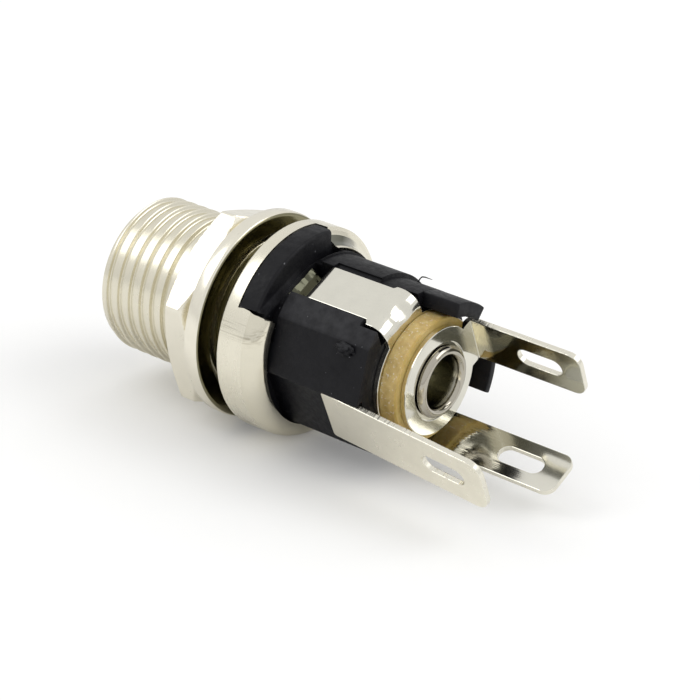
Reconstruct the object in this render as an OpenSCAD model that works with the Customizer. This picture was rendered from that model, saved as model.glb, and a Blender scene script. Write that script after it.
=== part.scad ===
// Panel-mount DC barrel jack with threaded bush, moulded body and three solder lugs.
// Millimetres. X runs along the jack, rearward, from the flange face that seats on the
// panel (x = 0). Z is up for a jack lying on a bench; each piece is drawn with the
// contact strip on top and then turned by rest_roll about the axis.

/* [Bush] */
// major diameter of the panel thread
thread_d = 11.0; // [10.6:0.1:11.4]
// threaded length in front of the flange
thread_l = 12.2; // [10:0.1:16]
// flange diameter
flange_d = 14.5; // [14.2:0.1:16]
// length of the straight part of the flange rim
rim_l = 2.0; // [1.8:0.1:2.2]
// end of the crimped lips behind the flange face
crimp_x = 3.4; // [3.2:0.05:3.6]
// bore that holds the snout of the body
bush_bore_d = 8.3; // [8.1:0.05:8.6]
// depth from the flange face to the step that the body bears on
step_x = 1.05; // [0.9:0.05:1.3]
// half angle of the gap between the crimped lips
key_half_angle = 36; // [30:1:42]

/* [Nut] */
// width across the flats
nut_af = 13.0; // [12.8:0.1:13.6]
// length of the hexagon
nut_hex_l = 2.3; // [1.9:0.1:3.5]
// collar thickness
nut_collar_t = 1.15; // [0.8:0.05:1.6]
// panel gap between the collar and the flange
panel_gap = 1.65; // [0.5:0.05:2.4]
// angle of one corner about the axis
nut_clock = 18.3; // [0:0.1:59]

/* [Body] */
// diameter of the plug bore
plug_bore_d = 6.2; // [6.0:0.05:6.4]
// outer diameter of the snout inside the bush
snout_d = 8.2; // [8.0:0.05:8.25]
// diameter of the moulded body behind the bush
body_d = 11.9; // [11.7:0.05:12.1]
// rear face of the moulded body
body_x = 10.7; // [10.3:0.05:11.1]
// half width of the channel that holds the contact strip
channel_half_w = 1.5; // [1.5:0.05:1.6]
// rear end of the two guard prongs beside the centre-pin lug
guard_x = 13.5; // [13.2:0.1:16]
// thickness of the lower prong
guard_t = 0.55; // [0.4:0.05:0.55]
// thickness of the upper prong
guard_top_t = 1.0; // [0.6:0.05:1.0]

/* [Contacts] */
// diameter of the centre pin
pin_d = 2.1; // [1.9:0.05:2.5]
// front end of the centre pin in front of the flange face
pin_front = 10.8; // [8:0.1:11.5]
// diameter of the pin shank that is riveted over
shank_d = 4.3; // [4.1:0.05:4.5]
// bore of the hollow rivet end
rivet_bore_d = 3.6; // [3.2:0.05:3.8]
// diameter of the rolled rivet rim
rivet_rim_d = 4.9; // [4.7:0.05:5.4]
// thickness of the contact sheet
sheet_t = 0.4; // [0.35:0.05:0.45]
// width of the leaf spring strip
strip_w = 2.8; // [2.2:0.1:2.9]
// height of the strip above the axis
strip_z = 5.6; // [5.5:0.05:5.7]
// thickness of the insulating washer
washer_t = 1.3; // [1.1:0.05:1.5]
// diameter of the insulating washer
washer_d = 8.5; // [8.2:0.1:8.7]
// diameter of the ring plate under the rivet rim
ring_d = 7.4; // [7.0:0.1:7.8]

/* [Solder lugs] */
// width of the centre-pin lug
lug_a_w = 3.5; // [3:0.1:3.7]
// inner face of the centre-pin lug from the axis
lug_a_y = 4.05; // [4:0.05:4.2]
// rear end of the centre-pin lug
lug_a_x = 21.1; // [20:0.1:23]
// width of the sleeve lug
lug_b_w = 3.3; // [2.8:0.1:3.4]
// depth of the upper face of the sleeve lug below the axis
lug_b_z = 5.1; // [5:0.05:5.3]
// rear end of the sleeve lug
lug_b_x = 21.3; // [20:0.1:23]
// width of the shunt lug
lug_c_w = 4.1; // [3.6:0.1:4.2]
// distance of the outer face of the shunt lug from the axis, at its front end
lug_c_y = 5.5; // [5.4:0.05:5.6]
// rear end of the shunt lug
lug_c_x = 20.6; // [18:0.1:22]
// outward splay of the shunt lug
lug_c_splay = 4; // [0:0.5:6]
// width of the solder slots
slot_w = 1.35; // [1:0.05:1.5]
// length of the solder slots
slot_l = 3.4; // [2.6:0.1:3.8]

/* [Pose] */
// turn about the axis at which the jack lies on a bench
rest_roll = 26.7; // [0:0.1:59]

/* [Hidden] */
$fn = 64;
fit = 0.05;                             // running clearance between mating pieces
thread_r = thread_d / 2;
flange_r = flange_d / 2;
nut_collar_d = flange_d;                // the nut's collar matches the flange across the panel
bore_r = bush_bore_d / 2;
snout_r = min(snout_d / 2, bore_r - fit / 2);
body_r = body_d / 2;
plug_r = plug_bore_d / 2;
disc_r = 6.3;                           // disc of the body, held in the flange
lip_r = body_r + fit;                   // inner edge of the crimped lips
disc_x = 2.6;                           // rear face of that disc
collar_x = -panel_gap;                  // rear face of the nut collar
hex_x = collar_x - nut_collar_t;        // rear end of the hexagon
nut_front_x = hex_x - nut_hex_l;
corner_r = nut_af / 2 / cos(30);
chamfer = 0.6;                          // axial length of the hexagon chamfers
strip_in_z = strip_z - sheet_t;         // channel floor under the strip
contact_x1 = body_x + sheet_t;          // rear face of the sleeve ring plate
washer_x1 = contact_x1 + washer_t;      // rear face of the washer
ring_x1 = washer_x1 + sheet_t;          // rear face of the pin ring plate
rim_x1 = ring_x1 + 0.45;                // top of the rolled rim
hub_r = shank_d / 2 + 0.4;              // hub of the washer inside the sleeve ring plate
contact_r = washer_d / 2 + 0.1;         // ring plate of the sleeve contact
leaf_t = 0.3;                           // hidden front arm of the leaf spring
leaf_z = 3.55;                          // underside of that arm
finger_z = leaf_z - sheet_t;            // underside of the switch finger
groove_w = 0.2;                         // groove pressed round the rivet rim
groove_d = 0.1;
blade_step_x = 7.65;                    // where the shunt blade steps into the body
blade_in_y = 4.1;                       // outer face of its hidden part
far_r = body_r - 0.25;                  // the far side of the body steps in twice
far_x = 7.9;                            // the second step, to the radius of the prongs
far_a0 = -75;                           // angles between which it does
far_a1 = 90;
guard_r = 5.5;                          // outer radius of the prongs
guard_low = [-51.5, -23];               // angles at which they start and end
guard_top = [26, 60];
flank_a = 140.5;                        // direction of the flat flank above the shunt blade
flank_d = 5.66;                         // and its distance from the axis
slot_end = 1.55;                        // from a solder slot to the end of its lug
lug_corner = 1.3;                       // corner radius of the lugs
flat_under = 0.35;                      // gap between the underside and the sleeve lug
window_x0 = 2.75;                       // window through which the leaf spring dips
window_x1 = 4.5;
finger_x0 = 2.95;                       // switch finger
finger_x1 = 3.9;
rail_x = 9.3;                           // the channel is wider behind this

// ---- helpers ----
module posed() rotate([rest_roll, 0, 0]) children();

// lathe profile given as [radius, x] points
module turned(profile) rotate([0, 90, 0]) rotate_extrude() polygon(profile);

module rod(r, x0, x1) translate([x0, 0, 0]) rotate([0, 90, 0]) cylinder(r = r, h = x1 - x0);

// section drawn in (y, z), swept from x0 to x1
module along(x0, x1) translate([x0, 0, 0]) rotate([90, 0, 90]) linear_extrude(x1 - x0) children();

// section drawn in (x, z), centred on the plane y = 0
module across(w) translate([0, w / 2, 0]) rotate([90, 0, 0]) linear_extrude(w) children();

module box(x0, x1, y0, y1, z0, z1) translate([x0, y0, z0]) cube([x1 - x0, y1 - y0, z1 - z0]);

// wedge of the yz plane between two angles (less than 180 degrees apart)
module sector(a0, a1, r) {
    m = (a0 + a1) / 2;
    polygon([[0, 0], r * [cos(a0), sin(a0)], 1.6 * r * [cos(m), sin(m)], r * [cos(a1), sin(a1)]]);
}

// flat outline of a lug along x with rounded far corners and a solder slot
module lug_outline(x0, x1, w, corner = lug_corner) difference() {
    union() {
        translate([x0, -w / 2]) square([x1 - x0 - corner, w]);
        translate([x0, corner - w / 2]) square([x1 - x0, w - 2 * corner]);
        for (s = [-1, 1]) translate([x1 - corner, s * (w / 2 - corner)]) circle(r = corner);
    }
    slot_outline(x1 - slot_end - slot_l, x1 - slot_end);
}

module slot_outline(x0, x1) {
    translate([x0 + slot_w / 2, -slot_w / 2]) square([x1 - x0 - slot_w, slot_w]);
    for (x = [x0 + slot_w / 2, x1 - slot_w / 2]) translate([x, 0]) circle(d = slot_w);
}

// ribbon of constant thickness t on the left of a path of points
function unit(v) = v / norm(v);
function left_of(v) = [-v[1], v[0]];
function side_dir(p, i) =
    let (a = i > 0 ? unit(p[i] - p[i - 1]) : unit(p[1] - p[0]),
         b = i < len(p) - 1 ? unit(p[i + 1] - p[i]) : a,
         m = unit(left_of(a) + left_of(b)))
    m / (m * left_of(a));
function ribbon(p, t) =
    concat(p, [for (i = [len(p) - 1:-1:0]) p[i] + t * side_dir(p, i)]);
function arc(c, r, a0, a1, n) = [for (i = [0:n]) c + r * [cos(a0 + (a1 - a0) * i / n), sin(a0 + (a1 - a0) * i / n)]];

// ---- bush ----
module bush() color([0.82, 0.81, 0.77]) posed() difference() {
    turned(concat(
        [[bore_r, -thread_l], [thread_r - 0.35, -thread_l], [thread_r, 0.3 - thread_l], [thread_r, 0],
         [flange_r - 0.2, 0], [flange_r, 0.2]],
        [for (a = [0:15:75]) [lip_r + 0.1 + (flange_r - lip_r - 0.1) * cos(a),
                              rim_l + (crimp_x - rim_l) * sin(a)]],
        [[lip_r + 0.1, crimp_x], [lip_r, crimp_x - 0.1], [lip_r, disc_x],
         [disc_r + fit, disc_x], [disc_r + fit, step_x], [bore_r, step_x]]));
    along(step_x, crimp_x + 1) sector(90 - key_half_angle, 90 + key_half_angle, 8);
}

// ---- nut ----
module hex_nut() color([0.84, 0.83, 0.79]) posed() difference() {
    union() {
        intersection() {
            rotate([nut_clock, 0, 0]) translate([nut_front_x, 0, 0]) rotate([0, 90, 0]) rotate([0, 0, 90])
                cylinder(r = corner_r, h = nut_hex_l + 0.2, $fn = 6);
            turned([[0, nut_front_x], [nut_af / 2 - 0.15, nut_front_x], [corner_r + 0.05, nut_front_x + chamfer],
                    [corner_r + 0.05, hex_x - chamfer], [nut_af / 2 - 0.15, hex_x], [nut_af / 2 - 0.15, hex_x + 0.2],
                    [0, hex_x + 0.2]]);
        }
        turned([[0, hex_x], [nut_collar_d / 2 - 0.15, hex_x], [nut_collar_d / 2, hex_x + 0.15],
                [nut_collar_d / 2, collar_x - 0.3], [nut_collar_d / 2 - 0.1, collar_x - 0.1],
                [nut_collar_d / 2 - 0.3, collar_x], [0, collar_x]]);
    }
    turned([[0, nut_front_x - 1], [thread_r + 1.2, nut_front_x - 1], [thread_r + 0.45, nut_front_x],
            [thread_r + fit, nut_front_x + 0.4], [thread_r + fit, collar_x - 0.4], [thread_r + 0.45, collar_x],
            [thread_r + 0.45, collar_x + 1], [0, collar_x + 1]]);
}

// ---- moulded body ----
// outline behind the flange: round, lower on the far side, with a flat flank above the shunt blade
module body_outline(r) difference() {
    union() {
        difference() { circle(r = body_r); sector(far_a0, far_a1, 8); }
        circle(r = r);
    }
    rotate(flank_a) translate([flank_d, -8]) square([4, 16]);     // flat flank
    translate([-lug_c_y - 3, -8]) square([3 + sheet_t + fit, 8 + lug_c_w / 2 + fit]);   // seat of the blade
    translate([-8, -8]) square([16, 8 - lug_b_z + flat_under]);   // flat underside
}

// guard prong, an arc of the far side that runs on behind the body
module prong(x1, span, t) along(body_x - 1, x1) difference() {
    intersection() { circle(r = guard_r); sector(span[0], span[1], 8); }
    circle(r = guard_r - t);
}

module body() color([0.13, 0.13, 0.14]) posed() difference() {
    union() {
        rod(snout_r, 0.4 - thread_l, step_x);
        rod(disc_r, step_x, disc_x);
        intersection() {                                          // key between the crimped lips
            rod(flange_r, step_x, disc_x);
            along(step_x, disc_x) sector(90.6 - key_half_angle, 89.4 + key_half_angle, 8);
        }
        along(disc_x, crimp_x) body_outline(body_r);
        along(crimp_x, far_x) body_outline(far_r);
        along(far_x, body_x) body_outline(guard_r);
        prong(guard_x, guard_top, guard_top_t);
        prong(guard_x - 0.1, guard_low, guard_t);
    }
    rod(plug_r, -thread_l, 7.4);                                  // plug bore
    rod(shank_d / 2 + 0.35, 7.3, 8.0);                            // seat of the pin flange
    rod(shank_d / 2 + fit, 7.9, body_x + 1);                      // hole of the shank
    box(window_x1 - 0.1, rail_x, -channel_half_w, channel_half_w, strip_in_z, 8);  // channel of the strip
    box(rail_x - 0.01, body_x + 1, -2.05, 2.05, strip_in_z - 0.85, 8);             // room for its shoulders
    box(window_x0, window_x1, -channel_half_w, channel_half_w, leaf_z, 8);         // window
    box(-6.6, window_x1, -channel_half_w, channel_half_w, 2, leaf_z + 0.5);        // groove of the hidden arm
    // pocket of the switch blade, its way in from the side, and room for the finger
    box(finger_x0 - 0.1, blade_step_x + sheet_t + fit, -blade_in_y - fit, -blade_in_y + sheet_t + fit,
        -1.6, leaf_z + fit);
    box(blade_step_x - fit, blade_step_x + sheet_t + fit, -8, -blade_in_y + sheet_t + fit, -1.6, 2.0);
    box(finger_x0 - 0.1, finger_x1 + 0.1, -blade_in_y - fit, 1.0, finger_z - fit, leaf_z + fit);
}

// ---- centre pin ----
module centre_pin() color([0.80, 0.78, 0.72]) posed() turned(concat(
    [[0, -pin_front], [pin_d / 2 - 0.35, -pin_front], [pin_d / 2, 0.5 - pin_front], [pin_d / 2, 7.4],
     [shank_d / 2 + 0.3, 7.4], [shank_d / 2 + 0.3, 8.0], [shank_d / 2, 8.0], [shank_d / 2, ring_x1],
     [rivet_rim_d / 2, ring_x1]],
    [for (a = [0:30:150]) [(rivet_rim_d + rivet_bore_d) / 4 + (rivet_rim_d - rivet_bore_d) / 4 * cos(a),
                           rim_x1 - 0.4 + 0.4 * sin(a)]],
    [[rivet_bore_d / 2, ring_x1 - 0.3], [rivet_bore_d / 2, 9.4], [0, 8.7]]));

// ---- pin terminal ----
module pin_terminal() color([0.80, 0.79, 0.76]) posed() {
    difference() {
        union() {
            rod(ring_d / 2, washer_x1, ring_x1);
            box(washer_x1, ring_x1, 2.6, lug_a_y, 0.1 - lug_a_w / 2, lug_a_w / 2 - 0.1);
        }
        rod(shank_d / 2 + fit, washer_x1 - 1, ring_x1 + 1);
        turned([[rivet_rim_d / 2 - 0.05, ring_x1 - groove_d], [rivet_rim_d / 2 + groove_w, ring_x1 - groove_d],
                [rivet_rim_d / 2 + groove_w, ring_x1 + 1], [rivet_rim_d / 2 - 0.05, ring_x1 + 1]]);
    }
    // lug beyond the square bend
    translate([0, lug_a_y + sheet_t, 0]) rotate([90, 0, 0]) linear_extrude(sheet_t)
        lug_outline(washer_x1, lug_a_x, lug_a_w);
}

// ---- insulating washer, with a hub that keeps the shank off the sleeve ring plate ----
module insulating_washer() color([0.72, 0.60, 0.40]) posed() difference() {
    union() {
        rod(washer_d / 2, contact_x1, washer_x1);
        rod(hub_r, body_x, contact_x1 + 0.1);
    }
    rod(shank_d / 2 + fit, body_x - 1, washer_x1 + 1);
}

// ---- sleeve contact: leaf spring, ring plate and lug pressed from one strip ----
leaf_path = [[-6.2, 3.65], [-5.9, leaf_z + 0.02], [-4.6, 2.85], [-4.3, 2.85], [-3.0, leaf_z], [2.9, leaf_z]];

module sleeve_contact() color([0.82, 0.80, 0.76]) posed() {
    across(2.2) polygon(ribbon(leaf_path, leaf_t));
    across(strip_w) polygon(ribbon([[2.9, leaf_z], [3.2, leaf_z], [4.45, strip_in_z], [rail_x + 0.1, strip_in_z]], sheet_t));
    across(3.6) polygon(ribbon(concat([[rail_x + fit, strip_in_z]],
        arc([body_x - 0.8, strip_in_z - 0.8], 0.8, 90, 0, 4), [[body_x, 4.0]]), sheet_t));
    difference() {
        union() {
            rod(contact_r, body_x, contact_x1);
            box(body_x, contact_x1, -lug_b_w / 2, lug_b_w / 2, -lug_b_z - sheet_t, 0);
        }
        rod(hub_r + fit, body_x - 1, contact_x1 + 1);
    }
    translate([0, 0, -lug_b_z - sheet_t]) linear_extrude(sheet_t)
        lug_outline(body_x, lug_b_x, lug_b_w);
}

// ---- shunt terminal: lug and blade outside, switch finger under the leaf spring ----
module shunt_terminal() color([0.84, 0.82, 0.78]) posed() {
    translate([blade_step_x, -lug_c_y, 0]) rotate([0, 0, -lug_c_splay])
        translate([0, sheet_t, 0]) rotate([90, 0, 0]) linear_extrude(sheet_t)
            lug_outline(0, lug_c_x - blade_step_x, lug_c_w);
    // step into the body, hidden blade, riser and finger
    box(blade_step_x, blade_step_x + sheet_t, -lug_c_y, -blade_in_y + sheet_t, -1.5, 1.9);
    box(finger_x0, blade_step_x + sheet_t, -blade_in_y, -blade_in_y + sheet_t, -1.5, 1.9);
    box(finger_x0, finger_x1, -blade_in_y, -blade_in_y + sheet_t, 1.8, leaf_z);
    box(finger_x0, finger_x1, -blade_in_y, 0.8, finger_z, leaf_z);
}

bush();
hex_nut();
body();
centre_pin();
pin_terminal();
insulating_washer();
sleeve_contact();
shunt_terminal();
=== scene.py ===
"""Looks of the panel-mount DC barrel jack: finished pieces, plating, lamps and camera.

Lengths are millimetres in the jack's own frame: x runs rearward along the axis from the panel face of
the flange, y points to the far side and z to the contact strip. Angles about the axis are degrees from
+y towards +z. place() turns that frame by ROLL about x and scales it to metres, which gives the frame
of the CAD solids.
"""
import math

import bmesh
import bpy
import numpy as np
from mathutils import Matrix, Vector, noise


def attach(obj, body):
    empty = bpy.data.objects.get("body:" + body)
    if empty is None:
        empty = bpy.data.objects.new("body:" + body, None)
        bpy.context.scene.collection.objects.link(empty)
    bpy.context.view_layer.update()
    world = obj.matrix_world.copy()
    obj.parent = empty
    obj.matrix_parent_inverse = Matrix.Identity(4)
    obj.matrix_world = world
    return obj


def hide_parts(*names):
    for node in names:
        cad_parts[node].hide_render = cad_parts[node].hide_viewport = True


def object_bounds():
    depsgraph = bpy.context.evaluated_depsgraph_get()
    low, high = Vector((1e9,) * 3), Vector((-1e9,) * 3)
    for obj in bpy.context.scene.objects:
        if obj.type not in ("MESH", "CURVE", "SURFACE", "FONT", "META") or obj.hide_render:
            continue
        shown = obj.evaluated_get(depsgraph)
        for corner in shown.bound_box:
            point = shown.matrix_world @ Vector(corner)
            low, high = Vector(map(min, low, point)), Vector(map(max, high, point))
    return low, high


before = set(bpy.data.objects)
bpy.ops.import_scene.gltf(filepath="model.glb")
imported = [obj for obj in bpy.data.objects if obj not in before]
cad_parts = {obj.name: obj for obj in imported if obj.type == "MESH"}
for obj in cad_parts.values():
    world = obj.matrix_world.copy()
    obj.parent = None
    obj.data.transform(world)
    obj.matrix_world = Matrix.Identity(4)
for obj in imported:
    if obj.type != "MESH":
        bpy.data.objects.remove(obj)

CAD_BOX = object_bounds()

MM = 0.001

# ---- sizes shared with the CAD source ----
ROLL = math.radians(26.7)           # turn of the jack about its axis as it lies
FIT = 0.05                          # clearance between pieces that fit together
SHEET_T = 0.4                       # thickness of the sheet metal

# bush: threaded barrel, flange and the rim crimped over the body
THREAD_R, THREAD_L = 5.5, 12.2
BUSH_BORE_R = 4.15
FLANGE_R = 7.25
STEP_X = 1.05                       # shoulder in the flange on which the body's disc lies
RIM_X, CRIMP_X = 2.0, 3.4           # start and end of the crimp
KEY_A0, KEY_A1 = 54, 126            # gap in the crimp for the body's key

# panel nut with its collar
NUT_FLAT = 6.5                      # from the axis to a flat
NUT_CLOCK = 18.3                    # turn of the hexagon
NUT_X0, NUT_X1 = -5.1, -2.8
COLLAR_X = -1.65

# moulded body
SNOUT_R, PLUG_R = 4.1, 3.1          # snout inside the barrel and its plug bore
DISC_R, DISC_X = 6.3, 2.6           # disc under the crimp
BODY_R, BODY_X = 5.95, 10.7
FLANK_A, FLANK_D = 140.5, 5.66      # direction and distance of the flat flank
CHANNEL_NEAR = 1.5                  # near wall of the strip's channel
RAIL_X = 9.3                        # the channel is wider behind this
WINDOW_X0, WINDOW_X1 = 2.75, 4.5    # window through which the leaf spring dips
FAR_A0, FAR_A1 = -75, 90            # the far side, lower than the rest
FAR_X = 7.9                         # its second step, down to the prongs
PRONG_R, PRONG_X = 5.5, 13.5
PRONG_TOP = (26, 60, 1.0)           # angles and thickness of the guard prongs
PRONG_LOW = (-51.5, -23, 0.55)

# centre pin, whose rear end is rolled over the stack
PIN_R, PIN_X = 1.05, -10.8
SHANK_R = 2.15
HEAD_X0, HEAD_X1 = 7.4, 8.0         # its collar inside the body
RIVET_BORE_R, RIVET_RIM_R = 1.8, 2.45
RIM_TOP_X = 13.25

# stack behind the body: ring plate, washer, ring plate
CONTACT_R, CONTACT_X = 4.35, 10.9   # ring plate of the strip, at half its thickness
WASHER_R, WASHER_X0, WASHER_X1 = 4.25, 11.1, 12.4
HUB_R = 2.55                        # hub of the washer, which keeps the pin off the first plate
RING_R, RING_X1 = 3.7, 12.8

# contact strip on top, and the three solder lugs
STRIP_Z = 5.6
STRIP_NEAR = 1.4                    # near edge of the strip
LUG_A_Y, LUG_A_X, LUG_A_W = 4.25, 21.1, 3.5                 # far lug, of the centre pin
LUG_B_Z, LUG_B_X, LUG_B_W = -5.3, 21.3, 3.3                 # lower lug, of the strip
LUG_C_Y, LUG_C_X0, LUG_C_X, LUG_C_W = -5.3, 7.65, 20.6, 4.1  # near lug, of the shunt
SPLAY = math.radians(4)             # the near lug bends away from the axis
BLADE_Y = -3.9                      # its hidden part, at half its thickness
FINGER_X0, FINGER_X1 = 2.95, 3.9    # switch finger under the leaf
LEAF_Z, LEAF_T = 3.7, 0.3           # hidden front arm of the leaf spring
SLOT_W, SLOT_L = 1.35, 3.4
SLOT_END = 1.55                     # from a solder slot to the end of its lug
LUG_CORNER = 1.3

# ---- forms that only the scene has, or draws a little differently ----
PITCH, THREAD_DEPTH = 1.0, 0.26
CREST, CREST_FLANK = 0.06, 0.27     # half crest and flank of the thread, as shares of half a pitch
CHANNEL_FAR = 2.2                   # far wall of the strip's channel
STRIP_FAR = 1.6                     # far edge of the strip
SHOULDER_W = 2.05                   # room for the strip's shoulders at the rails
FAR_R = 5.8                         # far side of the body
NECK_R, NECK_X = 5.45, 3.35         # undercut behind the key
LEAD_R = 5.16                       # the thread's front edge
FAR_LOBE_A = -60                    # the far lobe is hollow from this angle on
FAR_LOBE_X = 2.85                   # where its hollow ends in a lip
# its section: share of the crimp's length, and the x and radius to which that place is pressed
FAR_LOBE = ((0.0, RIM_X, FLANGE_R), (0.15, 2.08, 7.05), (0.35, 2.22, 6.72), (0.6, 2.45, 6.38),
            (0.85, FAR_LOBE_X, 6.18), (1.0, FAR_LOBE_X + 0.2, 6.12))
GROOVE_R = 2.66                     # sunk ring round the rivet
GATE_X, GATE_UP = 9.0, 1.40         # place of the gate pip on the flank
PIP = (0.66, 0.40, 0.36)            # its half length, half height and depth


# ---- mesh helpers ----
def place(points):
    """Own millimetres to metres in the frame of the solids."""
    p = np.asarray(points, float) * MM
    c, s = math.cos(ROLL), math.sin(ROLL)
    return np.stack([p[:, 0], c * p[:, 1] - s * p[:, 2], s * p[:, 1] + c * p[:, 2]], 1)


def wobble(x, y, z, size):
    """Smooth noise from -1 to 1, with bumps of about the given size."""
    return noise.noise(Vector((x, y, z)) / size)


def smooth_min(a, b, k):
    """The smaller of two, blended over about k where they meet."""
    return -k * np.log(np.exp(-a / k) + np.exp(-b / k))


def smooth_step(x):
    """0 below 0, 1 above 1, and a smooth rise between."""
    x = np.clip(x, 0, 1)
    return x * x * (3 - 2 * x)


def fillet(points, closed=True, n=4):
    """Points (x, y, radius) with each corner rounded by its radius."""
    out, m = [], len(points)
    for i, (x, y, r) in enumerate(points):
        p = np.array((x, y), float)
        if r == 0 or (not closed and i in (0, m - 1)):
            out.append(p)
            continue
        a = np.array(points[i - 1][:2]) - p
        b = np.array(points[(i + 1) % m][:2]) - p
        la, lb = np.linalg.norm(a), np.linalg.norm(b)
        a, b = a / la, b / lb
        half = math.acos(float(np.clip(a @ b, -1, 1))) / 2
        d = min(r / math.tan(half), 0.49 * la, 0.49 * lb)
        r = d * math.tan(half)
        c = p + (a + b) / np.linalg.norm(a + b) * r / math.sin(half)
        v0, v1 = p + a * d - c, p + b * d - c
        t0 = math.atan2(v0[1], v0[0])
        turn = (math.atan2(v1[1], v1[0]) - t0 + math.pi) % (2 * math.pi) - math.pi
        angles = [t0 + turn * k / n for k in range(n + 1)]
        out += [c + r * np.array((math.cos(t), math.sin(t))) for t in angles]
    return out


def on_circle(r, angle):
    """The point (y, z) at an angle about the axis."""
    return r * math.cos(math.radians(angle)), r * math.sin(math.radians(angle))


def arc_points(r, a0, a1, n):
    """n + 1 points (y, z) of an arc about the axis."""
    return [on_circle(r, a) for a in np.linspace(a0, a1, n + 1)]


def round_section(r, n):
    return arc_points(r, 0, 360 - 360 / n, n - 1)


def arc_band(r0, r1, a0, a1, n):
    """Section between two radii and two angles."""
    return arc_points(r1, a0, a1, n) + arc_points(r0, a1, a0, n)


def arc_profile(r, x, w, h, t0, t1, n):
    """Points (radius, x) of an elliptic arc about (r, x) with half axes w and h."""
    return [(r + w * math.cos(t), x + h * math.sin(t)) for t in np.linspace(t0, t1, n)]


def lathe(profile, steps=160, arc=None, warp=None):
    """A closed profile of (radius, x) turned about x, all round or between the two angles of arc."""
    radii, xs = np.array(profile, float).T
    if arc is None:
        angles = np.linspace(0, 2 * math.pi, steps, endpoint=False)
    else:
        angles = np.radians(np.linspace(arc[0], arc[1], steps + 1))
    a, r = np.meshgrid(angles, radii)
    x = np.repeat(xs[:, None], len(angles), 1)
    if warp:
        a, r, x = warp(a, r, x)
    verts = polar_verts(x, r, a)
    m, n = len(radii), len(angles)
    cols = n if arc is None else n - 1
    faces = [(i * n + j, i * n + (j + 1) % n, (i + 1) % m * n + (j + 1) % n, (i + 1) % m * n + j)
             for i in range(m) for j in range(cols)]
    if arc is not None:
        faces += [[i * n for i in range(m)], [i * n + n - 1 for i in range(m)]]
    return verts, faces


def prism(outline, x0, x1):
    """A section in (y, z) swept from x0 to x1."""
    n = len(outline)
    verts = [(x, y, z) for x in (x0, x1) for y, z in outline]
    faces = [list(range(n)), list(range(n, 2 * n))]
    faces += [(i, (i + 1) % n, n + (i + 1) % n, n + i) for i in range(n)]
    return np.array(verts, float), faces


def block(x0, x1, y0, y1, z0, z1):
    return prism([(y0, z0), (y1, z0), (y1, z1), (y0, z1)], x0, x1)


def grid_faces(m, n, closed):
    """Quads of a grid of m rows and n columns, whose last column may meet the first."""
    cols = n if closed else n - 1
    return [(i * n + j, i * n + (j + 1) % n, (i + 1) * n + (j + 1) % n, (i + 1) * n + j)
            for i in range(m - 1) for j in range(cols)]


def grid_ends(m, n):
    """The faces that close both ends of a tube made of grid_faces."""
    return [list(range(n)), list(range((m - 1) * n, m * n))]


def polar_verts(x, r, a):
    """Vertices from x, radius and angle, each an array of one shape."""
    return np.stack([x, r * np.cos(a), r * np.sin(a)], -1).reshape(-1, 3)


def to_bmesh(shells):
    bm = bmesh.new()
    for verts, faces in shells:
        new = [bm.verts.new(v) for v in verts]
        for f in faces:
            bm.faces.new([new[i] for i in f])
    bmesh.ops.remove_doubles(bm, verts=bm.verts, dist=1e-5)
    bmesh.ops.recalc_face_normals(bm, faces=bm.faces)
    return bm


def raw_object(shell):
    """A plain object of one shell, for modifiers to work on."""
    bm = to_bmesh([shell])
    mesh = bpy.data.meshes.new("tool")
    bm.to_mesh(mesh)
    bm.free()
    obj = bpy.data.objects.new("tool", mesh)
    bpy.context.scene.collection.objects.link(obj)
    return obj


def mesh_arrays(obj):
    """Evaluated vertices and faces of an object, which is then removed."""
    deps = bpy.context.evaluated_depsgraph_get()
    mesh = bpy.data.meshes.new_from_object(obj.evaluated_get(deps))
    verts = np.empty(len(mesh.vertices) * 3)
    mesh.vertices.foreach_get("co", verts)
    faces = [tuple(p.vertices) for p in mesh.polygons]
    data = obj.data
    bpy.data.objects.remove(obj)
    (bpy.data.curves if isinstance(data, bpy.types.Curve) else bpy.data.meshes).remove(data)
    bpy.data.meshes.remove(mesh)
    return verts.reshape(-1, 3), faces


def carved(shell, cutters, bevel):
    """The shell with the cutters taken away and its remaining edges softened."""
    obj = raw_object(shell)
    tools = [raw_object(c) for c in cutters]
    for t in tools:
        mod = obj.modifiers.new("cut", "BOOLEAN")
        mod.object, mod.operation, mod.solver = t, "DIFFERENCE", "EXACT"
    mod = obj.modifiers.new("soften", "BEVEL")
    mod.width, mod.segments = bevel, 3
    mod.limit_method, mod.angle_limit = "ANGLE", math.radians(32)
    mod.use_clamp_overlap = True
    arrays = mesh_arrays(obj)
    for t in tools:
        mesh = t.data
        bpy.data.objects.remove(t)
        bpy.data.meshes.remove(mesh)
    return arrays


def add_piece(name, shells, materials, smooth, zone=None):
    """One object from shells; zone(centre, normal) picks a face's material, and smooth is in degrees."""
    bm = to_bmesh(shells)
    co = place([v.co for v in bm.verts])
    if zone:
        for f in bm.faces:
            f.material_index = int(zone(f.calc_center_median(), f.normal))
    for v, c in zip(bm.verts, co):
        v.co = c
    bm.normal_update()
    mesh = bpy.data.meshes.new(name)
    bm.to_mesh(mesh)
    bm.free()
    for m in materials:
        mesh.materials.append(m)
    mesh.polygons.foreach_set("use_smooth", [True] * len(mesh.polygons))
    mesh.set_sharp_from_angle(angle=math.radians(smooth))
    obj = bpy.data.objects.new(name, mesh)
    bpy.context.scene.collection.objects.link(obj)
    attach(obj, "root")
    return obj


# ---- sheet metal ----
SHEET_SMOOTH = 17      # degrees; flat faces stay flat up to their softened edges


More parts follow.
